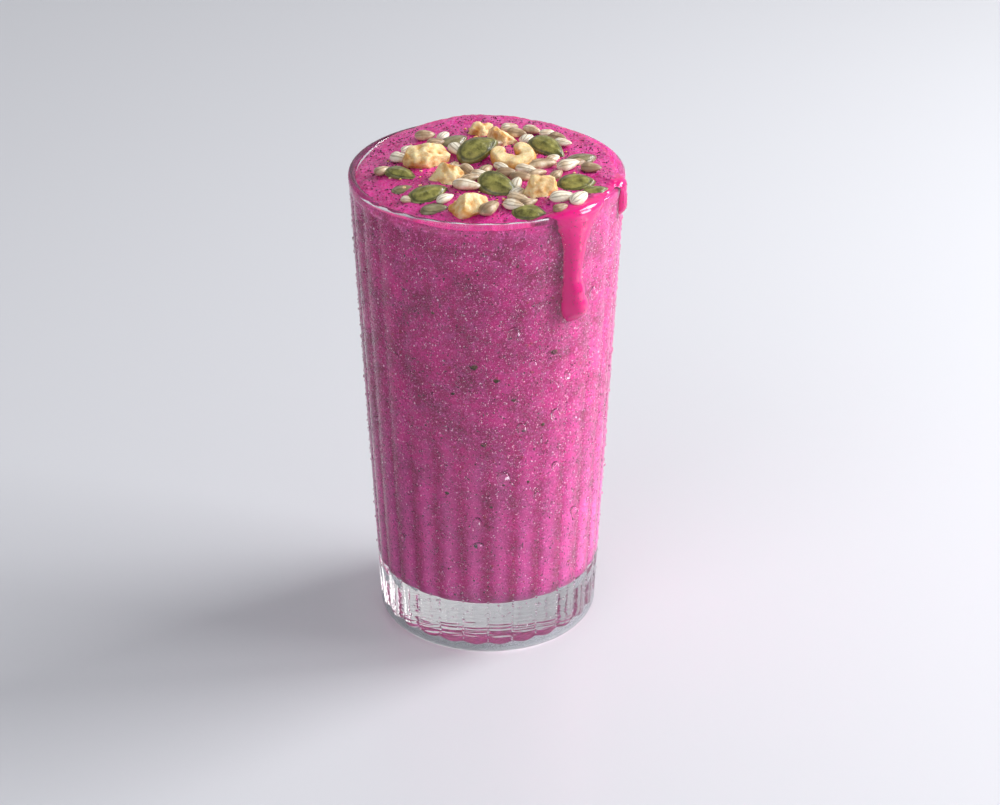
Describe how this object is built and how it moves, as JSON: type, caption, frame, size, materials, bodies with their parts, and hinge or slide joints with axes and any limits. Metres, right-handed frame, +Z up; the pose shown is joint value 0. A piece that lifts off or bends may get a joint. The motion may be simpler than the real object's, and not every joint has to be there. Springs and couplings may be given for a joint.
{
  "type": "dragon fruit smoothie",
  "caption": "Pink dragon fruit smoothie filled to the brim of a tall reeded glass, with a drip over the lip, topped with pumpkin seeds and chopped nuts.",
  "frame": {"origin": "centre of the glass's foot on the table", "axes": "+Z up along the glass's axis, -Y towards the side that faces the viewer, +X to the viewer's right"},
  "size_m": [0.0822, 0.0821, 0.156],
  "materials": {
    "glass": "clear soda-lime glass, polished",
    "smoothie": "thick wet magenta fruit drink with black seeds",
    "pumpkin_seed": "hulled green pumpkin seed, satin",
    "nut": "cream chopped nut, satin"
  },
  "bodies": {
    "root": {"glass": "glass", "smoothie": "smoothie", "pumpkin_seed_01": "pumpkin_seed", "pumpkin_seed_02": "pumpkin_seed", "pumpkin_seed_03": "pumpkin_seed", "pumpkin_seed_04": "pumpkin_seed", "pumpkin_seed_05": "pumpkin_seed", "pumpkin_seed_06": "pumpkin_seed", "pumpkin_seed_07": "pumpkin_seed", "pumpkin_seed_08": "pumpkin_seed", "pumpkin_seed_09": "pumpkin_seed", "pumpkin_seed_10": "pumpkin_seed", "pumpkin_seed_11": "pumpkin_seed", "pumpkin_seed_12": "pumpkin_seed", "nut_piece_01": "nut", "nut_piece_02": "nut", "nut_piece_03": "nut", "nut_piece_04": "nut", "nut_piece_05": "nut", "nut_piece_06": "nut", "nut_piece_07": "nut"}
  },
  "joints": []
}
